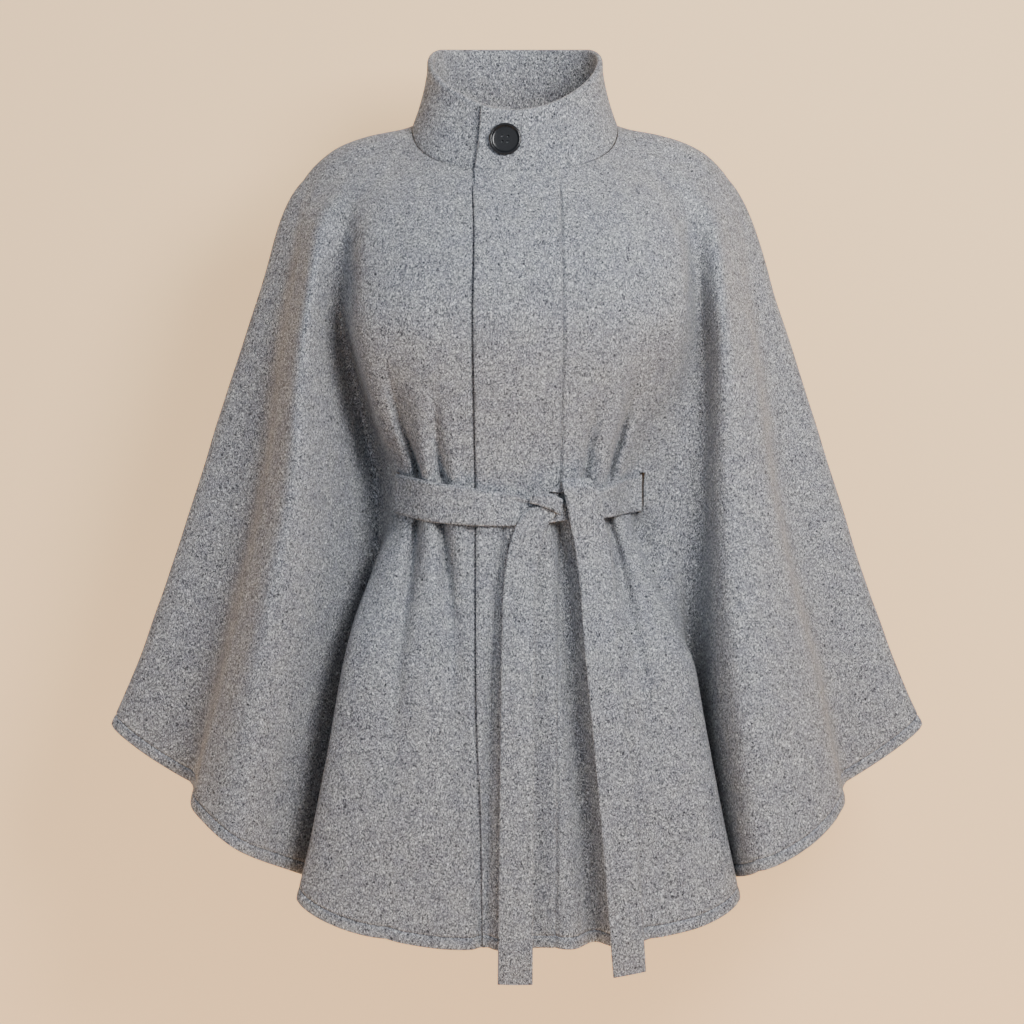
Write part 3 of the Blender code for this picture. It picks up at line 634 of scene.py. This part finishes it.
def build_stitches(drape, material):
    """Topstitching along the folded hem, all round but for the placket's lap."""
    row = int(np.argmin(np.abs(drape.heights[:, 0] - HEM_STITCH)))
    first, last = drape.column(1) + 1, drape.column(RING - 1)
    line = drape.points[row, first:last]
    facing = drape.normals[row, first:last]
    passed = np.concatenate([[0], np.cumsum(np.linalg.norm(np.diff(line, axis=0), axis=1))])
    vertices, faces = [], []
    for k in range(int(passed[-1] / STITCH_PITCH)):
        begin = k * STITCH_PITCH
        ends = []
        for at in (begin, begin + STITCH_LENGTH / 2, begin + STITCH_LENGTH):
            point = np.array([np.interp(at, passed, line[:, axis]) for axis in (0, 1, 2)])
            normal = np.array([np.interp(at, passed, facing[:, axis]) for axis in (0, 1, 2)])
            ends.append((point, normal / np.linalg.norm(normal)))
        along = ends[2][0] - ends[0][0]
        along /= np.linalg.norm(along)
        start = len(vertices)
        for (point, normal), sunk, share in zip(ends, (1.1, 0.45, 1.1), (0.4, 1, 0.4)):
            across = np.cross(along, normal)
            centre = point - normal * sunk * MM
            for turn in range(STITCH_SIDES):
                angle = 2 * math.pi * turn / STITCH_SIDES
                spoke = across * math.cos(angle) + normal * math.sin(angle)
                vertices.append(centre + spoke * STITCH_RADIUS * share)
        for ring in (start, start + STITCH_SIDES):
            for i in range(STITCH_SIDES):
                j = (i + 1) % STITCH_SIDES
                faces.append((ring + i, ring + j, ring + STITCH_SIDES + j, ring + STITCH_SIDES + i))
        faces.append(tuple(start + i for i in range(STITCH_SIDES))[::-1])
        faces.append(tuple(start + 2 * STITCH_SIDES + i for i in range(STITCH_SIDES)))
    return add_mesh("hem_stitches", vertices, faces, material)


def collar_places():
    """Places round the collar from its under end to the lap's edge, closer together at both ends."""
    first, last = COLLAR_UNDER_END, RING + 1
    ordinary = np.arange(first + 0.1, last - 0.1, 0.075)
    close = [0, 0.004, 0.012, 0.025, 0.045, 0.07]
    return np.array([first + c for c in close] + list(ordinary) + [last - c for c in reversed(close)])


def collar_lift(place):
    """How far the collar's outer face stands off its plain track. Its under end starts before 0."""
    under = -(COLLAR_THICKNESS + SEAM_GAP)
    if place <= 1:
        return COLLAR_LAP_LIFT * (place + 1) / 2 + under
    if place < 3:
        return (COLLAR_LAP_LIFT + under) * (1 - float(smooth((place - 1) / 2)))
    return COLLAR_LAP_LIFT * max(place - RING + 1, 0) / 2


def collar_grids():
    """Outer and inner grids of the collar, with a rolled rim and a rounded edge at its lap."""
    places = collar_places()
    bases = spline([points[0] for points in ring_of_rays()], places, closed=True)
    from_end = np.minimum(places - places[0], places[-1] - places)
    end_shares = 0.35 + 0.65 * np.sqrt(1 - (1 - np.clip(from_end / 0.06, 0, 1)) ** 2)
    outer, inner = [], []
    for place, base, end_share in zip(places, bases, end_shares):
        across = (base[0] - NECK_MIDDLE) / NECK_HALF_WIDTH
        forward = ((NECK_BACK + NECK_FRONT) / 2 - base[1]) / ((NECK_BACK - NECK_FRONT) / 2)
        angle = math.degrees(math.atan2(across, forward))
        rim = np.array((
            NECK_MIDDLE + RIM_HALF_WIDTH * across,
            (RIM_BACK + RIM_FRONT) / 2 - (RIM_BACK - RIM_FRONT) / 2 * forward,
            RIM_FRONT_Z + (RIM_BACK_Z - RIM_FRONT_Z) * float(smooth(abs(angle) / RIM_RISE_ANGLE)),
        ))
        flat = np.array((across / NECK_HALF_WIDTH, -forward * 2 / (NECK_BACK - NECK_FRONT), 0))
        flat /= np.linalg.norm(flat)
        at_base = flat + np.array((0, 0, COLLAR_BASE_LEAN * abs(forward)))
        at_base /= np.linalg.norm(at_base)
        length = np.linalg.norm(rim - base)
        up = (rim - base) / length
        column_outer, column_inner = [], []
        for height in COLLAR_ROWS:
            upright = min(height / COLLAR_BASE_SHARE, 1)
            out = at_base * (1 - upright) + flat * upright
            face = base + up * SEAM_GAP + (rim - base) * height
            face = face - out * COLLAR_WAIST * 4 * height * (1 - height)
            swell = COLLAR_SWELL * float(smooth(height / 0.05))
            rolled = COLLAR_ROLL * math.exp(-(((1 - height) * length / (6 * MM) - 0.8) ** 2))
            face = face + out * (swell + rolled + collar_lift(place))
            edge = min((1 - height) * length / COLLAR_RIM_ROUND, 1)
            from_seam = min(height * length / COLLAR_SEAM_ROUND, 1)
            share = math.sqrt(max(1 - (1 - edge) ** 2, 0.02)) * (0.72 + 0.28 * from_seam) * end_share
            spare = COLLAR_THICKNESS * (1 - share) / 2
            column_outer.append(face - out * spare)
            column_inner.append(face - out * (COLLAR_THICKNESS - spare))
        outer.append(column_outer[::-1])
        inner.append(column_inner[::-1])
    return np.array(outer).transpose(1, 0, 2), np.array(inner).transpose(1, 0, 2), places


def belt_clearance(place):
    side, near = side_places(np.array([place % RING]))
    across = float(-side[0] * near[0])
    if across <= -1:
        return BELT_CLEARANCE
    placket = DOUBLED_CLOTH + SEAM_GAP
    if across <= 1:
        return BELT_CLEARANCE + placket * (across + 1) / 2
    return BELT_CLEARANCE + placket * (1 - float(smooth((across - 1) / 0.7)))


# Across the belt: share of its width, share of the full thickness
STRIP_ROWS = (
    (0, 0.15), (0.012, 0.5), (0.035, 0.8), (0.08, 1), (0.2, 1.05), (0.35, 1.08), (0.5, 1.1),
    (0.65, 1.08), (0.8, 1.05), (0.92, 1), (0.965, 0.8), (0.988, 0.5), (1, 0.15),
)
# Creases of the belt by the knot, in mm: from (out, z), to (out, z), depth, half width
BELT_CREASES = (
    ((-20, -342), (18, -349), 1.6, 2.0),
    ((-8, -337), (20, -345), -1.4, 2.2),
    ((78, -345), (106, -331), 1.3, 1.8),
    ((80, -338), (104, -327), -0.8, 2.4),
)


def crease_depth(point, creases):
    depth = 0.0
    for start, end, deep, half_width in creases:
        a, b = np.array(start) * MM, np.array(end) * MM
        p = np.array((point[0], point[2]))
        t = float(np.clip(np.dot(p - a, b - a) / np.dot(b - a, b - a), 0, 1))
        away = np.linalg.norm(p - a - (b - a) * t) / (half_width * MM)
        depth += deep * MM * math.exp(-(away**2)) * (1 - abs(2 * t - 1) ** 4)
    return depth


def build_belt(drape, material):
    total = len(drape.columns)
    last = drape.column(3 + SLIT_SHARES[0])
    xs, tops, bottoms = zip(*BELT_EDGES)
    outer, inner = [], []
    for c in range(-last, last + 1):
        index = c % total
        out = drape.plain_at(index, WAIST)[0][0] / MM
        top, bottom = np.interp(out, xs, tops), np.interp(out, xs, bottoms)
        outer.append([])
        inner.append([])
        for share, thick in STRIP_ROWS:
            point, normal = drape.plain_at(index, (top + (bottom - top) * share) * MM)
            off = belt_clearance(drape.columns[index])
            spare = BELT_THICKNESS * (1 - thick) / 2
            inner[-1].append(point + normal * (off + max(spare, 0)))
            high = off + BELT_THICKNESS - spare - crease_depth(point, BELT_CREASES)
            outer[-1].append(point + normal * high)
    turns = [i / 12 for i in range(12 * (len(BELT_INSIDE) - 1) + 1)]
    inside = spline([(x * MM, y * MM, 0) for x, y in BELT_INSIDE], turns)
    tangents = np.gradient(inside, axis=0)
    top, bottom = BELT_EDGES[0][1] * MM, BELT_EDGES[0][2] * MM
    for point, tangent in zip(inside, tangents):
        flat = np.array((-tangent[1], tangent[0], 0)) / np.linalg.norm(tangent)
        outer.append([])
        inner.append([])
        for share, thick in STRIP_ROWS:
            level = point + np.array((0, 0, top + (bottom - top) * share))
            inner[-1].append(level - flat * BELT_THICKNESS / 2 * thick)
            outer[-1].append(level + flat * BELT_THICKNESS / 2 * thick)
    grids = [np.array(grid).transpose(1, 0, 2) for grid in (outer, inner)]
    return wall("belt_cloth", *grids, material, ring=True)


def build_strip(name, drape, rows, material, creases=(), steps=10):
    left = [(x * MM, off * MM, z * MM) for (x, z), _, off in rows]
    right = [(x * MM, off * MM, z * MM) for _, (x, z), off in rows]
    places = [i / steps for i in range(steps * (len(rows) - 1) + 1)]
    left, right = spline(left, places), spline(right, places)
    middle = []
    for a, b in zip(right, left):
        depths = [drape.front_at(a[0] + (b[0] - a[0]) * s, a[2] + (b[2] - a[2]) * s) for s in (0, 0.5, 1)]
        line = []
        for share, _ in STRIP_ROWS:
            point = a + (b - a) * share
            deep = np.interp(share, (0, 0.5, 1), depths) - point[1]
            line.append((point[0], deep, point[2]))
        middle.append(line)
    middle = np.array(middle)
    along, down = np.gradient(middle, axis=1), np.gradient(middle, axis=0)
    normals = np.cross(along, down)
    normals /= np.linalg.norm(normals, axis=2)[:, :, None]
    half = np.array([thick for _, thick in STRIP_ROWS])[None, :] * BELT_THICKNESS / 2
    half = np.repeat(half, len(places), axis=0)
    half[0] *= 0.4
    half[-1] *= 0.4
    pressed = np.array([[crease_depth(p, creases) for p in line] for line in middle])
    outer = middle + normals * (half - pressed)[:, :, None]
    inner = middle - normals * (half + pressed * 0.6)[:, :, None]
    return wall(name, outer, inner, material)


def build_button(grids, material):
    outer, _, places = grids

    def on_face(place, height):
        levels = [[np.interp(place + RING, places, row[:, axis]) for axis in (0, 1, 2)] for row in outer]
        levels = levels[::-1]
        columns = zip(*levels)
        return np.array([np.interp(height, COLLAR_ROWS, column) for column in columns])

    seat = on_face(BUTTON_PLACE, BUTTON_HEIGHT)
    level = on_face(BUTTON_PLACE - 0.3, BUTTON_HEIGHT) - on_face(BUTTON_PLACE + 0.3, BUTTON_HEIGHT)
    level /= np.linalg.norm(level)
    rise = on_face(BUTTON_PLACE, BUTTON_HEIGHT + 0.2) - on_face(BUTTON_PLACE, BUTTON_HEIGHT - 0.2)
    facing = np.cross(level, rise)
    facing /= np.linalg.norm(facing)
    rise = np.cross(facing, level)
    seat = seat + facing * BUTTON_STAND
    steps, radius = BUTTON_SIDES, BUTTON_DIAMETER / 2
    vertices, faces = [], []
    for share, height in BUTTON_PROFILE:
        for i in range(steps):
            angle = 2 * math.pi * i / steps
            flat = level * math.cos(angle) + rise * math.sin(angle)
            vertices.append(seat + flat * radius * share + facing * BUTTON_THICKNESS * height)
    for k in range(len(BUTTON_PROFILE) - 1):
        for i in range(steps):
            j = (i + 1) % steps
            faces.append((k * steps + i, k * steps + j, (k + 1) * steps + j, (k + 1) * steps + i))
    faces.append(tuple(range(steps))[::-1])
    faces.append(tuple((len(BUTTON_PROFILE) - 1) * steps + i for i in range(steps)))
    button = add_mesh("button_plastic", vertices, faces, material)
    cutters, sides = [], BUTTON_HOLE_SIDES
    for i in range(4):
        angle = math.pi / 4 + math.pi / 2 * i
        side = level * math.cos(angle) + rise * math.sin(angle)
        centre = seat + side * BUTTON_HOLE_SPACING / 2 * math.sqrt(2)
        ring = []
        for end in (-1, 2):
            for k in range(sides):
                turn = 2 * math.pi * k / sides
                flat = level * math.cos(turn) + rise * math.sin(turn)
                ring.append(centre + flat * BUTTON_HOLE_DIAMETER / 2 + facing * BUTTON_THICKNESS * end)
        walls = [tuple(range(sides))[::-1], tuple(range(sides, 2 * sides))]
        walls += [(k, (k + 1) % sides, sides + (k + 1) % sides, sides + k) for k in range(sides)]
        cutter = add_mesh("hole", ring, walls, material)
        cut = button.modifiers.new("hole", "BOOLEAN")
        cut.operation = "DIFFERENCE"
        cut.object = cutter
        cutters.append(cutter)
    cut_mesh = bpy.data.meshes.new_from_object(button.evaluated_get(bpy.context.evaluated_depsgraph_get()))
    button.modifiers.clear()
    button.data = cut_mesh
    button.data.shade_smooth()
    button.data.set_sharp_from_angle(angle=math.radians(40))
    for cutter in cutters:
        bpy.data.objects.remove(cutter)
    return button


# Fibres of the wool: how densely they lie, how long they are and how far they curl, in metres
FIBRE_SCALE = 1100
FIBRE_STRETCH = (1.0, 1.0, 0.36)
FIBRE_TURNS = ((0.2, 0.1, 0.0), (0.1, 1.15, 0.3), (-0.2, -1.05, 0.5))
FIBRE_SWIRL = 0.006
FIBRE_COLOURS = (
    (0.38, (0.03, 0.031, 0.036)),
    (0.47, (0.17, 0.174, 0.188)),
    (0.53, (0.31, 0.315, 0.332)),
    (0.62, (0.80, 0.81, 0.83)),
)


def node(tree, kind, place, **values):
    made = tree.nodes.new(kind)
    made.location = place
    for name, value in values.items():
        if name in made.inputs:
            made.inputs[name].default_value = value
        else:
            setattr(made, name, value)
    return made


def noise_node(tree, place, scale, detail=2.0, distortion=0.0):
    made = node(tree, "ShaderNodeTexNoise", place)
    made.inputs["Scale"].default_value = scale
    made.inputs["Detail"].default_value = detail
    made.inputs["Distortion"].default_value = distortion
    return made


def ramp_node(tree, place, stops):
    """A colour ramp through (position, (red, green, blue)) stops."""
    made = node(tree, "ShaderNodeValToRGB", place)
    elements = made.color_ramp.elements
    for position, _ in stops[2:]:
        elements.new(position)
    for element, (position, colour) in zip(elements, sorted(stops)):
        element.position, element.color = position, (*colour, 1)
    return made


def math_node(tree, place, operation, first, second):
    """A maths node whose two inputs are sockets or plain values."""
    made = node(tree, "ShaderNodeMath", place, operation=operation)
    for socket, given in zip(made.inputs, (first, second)):
        if isinstance(given, (int, float)):
            socket.default_value = given
        else:
            tree.links.new(given, socket)
    return made.outputs["Value"]


def wool_material(name="heathered_wool"):
    """Felted wool coating: short light and dark fibres that curl over each other, and no shine."""
    made = bpy.data.materials.new(name)
    made.use_nodes = True
    tree = made.node_tree
    link = tree.links.new
    shader = tree.nodes["Principled BSDF"]
    shader.inputs["Roughness"].default_value = 0.95
    shader.inputs["Specular IOR Level"].default_value = 0.1
    shader.inputs["Sheen Weight"].default_value = 0.12
    shader.inputs["Sheen Roughness"].default_value = 0.5
    place = node(tree, "ShaderNodeTexCoord", (-2400, 0))
    swirl = noise_node(tree, (-2200, -200), 260, 1.0)
    centred = node(tree, "ShaderNodeVectorMath", (-2000, -200), operation="SUBTRACT")
    centred.inputs[1].default_value = (0.5, 0.5, 0.5)
    scaled = node(tree, "ShaderNodeVectorMath", (-1820, -200), operation="SCALE")
    scaled.inputs["Scale"].default_value = FIBRE_SWIRL
    curled = node(tree, "ShaderNodeVectorMath", (-1640, 0), operation="ADD")
    link(place.outputs["Object"], swirl.inputs["Vector"])
    link(swirl.outputs["Color"], centred.inputs[0])
    link(centred.outputs["Vector"], scaled.inputs[0])
    link(place.outputs["Object"], curled.inputs[0])
    link(scaled.outputs["Vector"], curled.inputs[1])
    fibres = []
    for i, turn in enumerate(FIBRE_TURNS):
        turned = node(tree, "ShaderNodeMapping", (-1440, 300 - 300 * i))
        turned.inputs["Rotation"].default_value = turn
        turned.inputs["Scale"].default_value = FIBRE_STRETCH
        fibre = noise_node(tree, (-1240, 300 - 300 * i), FIBRE_SCALE, 1.0)
        link(curled.outputs["Vector"], turned.inputs["Vector"])
        link(turned.outputs["Vector"], fibre.inputs["Vector"])
        fibres.append(fibre.outputs["Fac"])
    light = math_node(tree, (-1020, 300), "MAXIMUM", fibres[0], fibres[1])
    light = math_node(tree, (-860, 300), "MAXIMUM", light, fibres[2])
    dark = math_node(tree, (-1020, 0), "MINIMUM", fibres[0], fibres[1])
    dark = math_node(tree, (-860, 0), "MINIMUM", dark, fibres[2])
    both = math_node(tree, (-700, 150), "ADD", light, dark)
    value = math_node(tree, (-540, 150), "MULTIPLY", both, 0.5)
    ramp = ramp_node(tree, (-360, 150), FIBRE_COLOURS)
    link(value, ramp.inputs["Fac"])
    tint = noise_node(tree, (-840, 600), 60, 2.0)
    tinted = ramp_node(tree, (-640, 600), ((0.35, (0.90, 0.90, 0.93)), (0.65, (1.05, 1.05, 1.03))))
    mixed = node(tree, "ShaderNodeMix", (-100, 200), data_type="RGBA", blend_type="MULTIPLY")
    mixed.inputs["Factor"].default_value = 1.0
    link(place.outputs["Object"], tint.inputs["Vector"])
    link(tint.outputs["Fac"], tinted.inputs["Fac"])
    link(ramp.outputs["Color"], mixed.inputs["A"])
    link(tinted.outputs["Color"], mixed.inputs["B"])
    link(mixed.outputs["Result"], shader.inputs["Base Color"])
    bump = node(tree, "ShaderNodeBump", (-100, -200))
    bump.inputs["Strength"].default_value = 0.8
    bump.inputs["Distance"].default_value = 1.0 * MM
    link(value, bump.inputs["Height"])
    link(bump.outputs["Normal"], shader.inputs["Normal"])
    return made


def plastic_material():
    """Polished black plastic with faint wear in its shine."""
    made = bpy.data.materials.new("black_plastic")
    made.use_nodes = True
    tree = made.node_tree
    shader = tree.nodes["Principled BSDF"]
    shader.inputs["Base Color"].default_value = (0.008, 0.008, 0.009, 1)
    shader.inputs["Specular IOR Level"].default_value = 0.5
    place = node(tree, "ShaderNodeTexCoord", (-800, 0))
    wear = node(tree, "ShaderNodeTexNoise", (-600, 0))
    wear.inputs["Scale"].default_value = 700
    rough = node(tree, "ShaderNodeMapRange", (-400, 0))
    rough.inputs["To Min"].default_value = 0.14
    rough.inputs["To Max"].default_value = 0.26
    tree.links.new(place.outputs["Object"], wear.inputs["Vector"])
    tree.links.new(wear.outputs["Fac"], rough.inputs["Value"])
    tree.links.new(rough.outputs["Result"], shader.inputs["Roughness"])
    return made


def thread_material():
    """Dark grey sewing thread."""
    made = bpy.data.materials.new("grey_thread")
    made.use_nodes = True
    tree = made.node_tree
    shader = tree.nodes["Principled BSDF"]
    shader.inputs["Roughness"].default_value = 0.7
    place = node(tree, "ShaderNodeTexCoord", (-800, 0))
    twist = noise_node(tree, (-600, 0), 1500)
    ramp = ramp_node(tree, (-400, 0), ((0.4, (0.05, 0.05, 0.055)), (0.6, (0.10, 0.10, 0.11))))
    tree.links.new(place.outputs["Object"], twist.inputs["Vector"])
    tree.links.new(twist.outputs["Fac"], ramp.inputs["Fac"])
    tree.links.new(ramp.outputs["Color"], shader.inputs["Base Color"])
    return made


BACKDROP = (0.82, 0.56, 0.31)
BACKDROP_GLOW = 1.1


def backdrop_material():
    """Pale paper. Part of its light is its own, so that it stays even up to the frame's edges.

    It is clear from behind, so that it doesn't hide the garment's back.
    """
    made = bpy.data.materials.new("backdrop_paper")
    made.use_nodes = True
    tree = made.node_tree
    shader = tree.nodes["Principled BSDF"]
    shader.inputs["Base Color"].default_value = (*BACKDROP, 1)
    shader.inputs["Roughness"].default_value = 0.95
    shader.inputs["Specular IOR Level"].default_value = 0.0
    shader.inputs["Emission Color"].default_value = (*BACKDROP, 1)
    shader.inputs["Emission Strength"].default_value = BACKDROP_GLOW
    side = node(tree, "ShaderNodeNewGeometry", (0, 300))
    clear = node(tree, "ShaderNodeBsdfTransparent", (0, -400))
    both = node(tree, "ShaderNodeMixShader", (300, 0))
    tree.links.new(side.outputs["Backfacing"], both.inputs[0])
    tree.links.new(shader.outputs["BSDF"], both.inputs[1])
    tree.links.new(clear.outputs["BSDF"], both.inputs[2])
    tree.links.new(both.outputs["Shader"], tree.nodes["Material Output"].inputs["Surface"])
    return made


def build_stage():
    """A pale floor that sweeps up into a wall behind the garment."""
    wall_y, front_y, floor_z, top_z = 0.24, -0.9, -1.25, 1.2
    radius, wide = 0.25, 2.2
    line = [(front_y, floor_z)]
    for i in range(13):
        angle = math.pi / 2 * i / 12
        line.append((wall_y - radius + radius * math.sin(angle), floor_z + radius - radius * math.cos(angle)))
    line.append((wall_y, top_z))
    vertices = [(x, y, z) for y, z in line for x in (-wide, wide)]
    faces = [(2 * i, 2 * i + 1, 2 * i + 3, 2 * i + 2) for i in range(len(line) - 1)]
    floor = add_mesh("backdrop", vertices, faces, backdrop_material())


def aim(thing, at):
    thing.rotation_euler = (Vector(at) - thing.location).to_track_quat("-Z", "Y").to_euler()


def build_sun(name, where, power, softness):
    """A far, soft light that shines from where towards the origin."""
    data = bpy.data.lights.new(name, "SUN")
    data.energy, data.angle = power, math.radians(softness)
    lamp = bpy.data.objects.new(name, data)
    lamp.location = where
    aim(lamp, (0, 0, 0))
    bpy.context.scene.collection.objects.link(lamp)


def build_panel(name, where, power, width):
    """A square light panel near the garment, so that its light falls off down the cloth."""
    data = bpy.data.lights.new(name, "AREA")
    data.energy, data.size = power, width
    lamp = bpy.data.objects.new(name, data)
    lamp.location = where
    aim(lamp, (0, 0, -0.3))
    bpy.context.scene.collection.objects.link(lamp)


def build_studio():
    build_panel("key", (0.65, -1.35, 0.5), 30, 0.6)
    build_sun("fill", (-1.4, -2.4, 1.0), 0.3, 60)
    world = bpy.data.worlds.new("studio")
    world.use_nodes = True
    world.node_tree.nodes["Background"].inputs["Color"].default_value = (0.80, 0.94, 1.12, 1)
    world.node_tree.nodes["Background"].inputs["Strength"].default_value = 0.36
    bpy.context.scene.world = world
    tilt, distance, middle_x, middle_z = math.radians(8), 3.2, -0.006, -0.3695
    data = bpy.data.cameras.new("camera")
    data.lens, data.sensor_width = 112.5, 36
    camera = bpy.data.objects.new("camera", data)
    camera.location = (middle_x, -distance * math.cos(tilt), middle_z + distance * math.sin(tilt))
    camera.rotation_euler = (math.pi / 2 - tilt, 0, 0)
    bpy.context.scene.collection.objects.link(camera)
    bpy.context.scene.camera = camera


def declare(piece, cad_node):
    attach(piece, "root")
    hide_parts(cad_node)


def main():
    wool, plastic = wool_material(), plastic_material()
    drape = Drape()
    placket, front_left, front_right, back = build_cloth(drape, wool)
    declare(placket, "placket")
    declare(front_left, "front_left")
    declare(front_right, "front_right")
    declare(back, "back")
    stitches = build_stitches(drape, thread_material())
    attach(stitches, "root")
    grids = collar_grids()
    collar = wall("collar_cloth", grids[0], grids[1], wool)
    declare(collar, "collar")
    belt = build_belt(drape, wool)
    declare(belt, "belt")
    knot = build_strip("knot_cloth", drape, KNOT, wool)
    declare(knot, "belt_knot")
    left = build_strip("tail_left_cloth", drape, LEFT_TAIL, wool)
    declare(left, "belt_tail_left")
    right = build_strip("tail_right_cloth", drape, RIGHT_TAIL, wool)
    declare(right, "belt_tail_right")
    button = build_button(grids, plastic)
    declare(button, "button")
    build_stage()
    build_studio()


main()
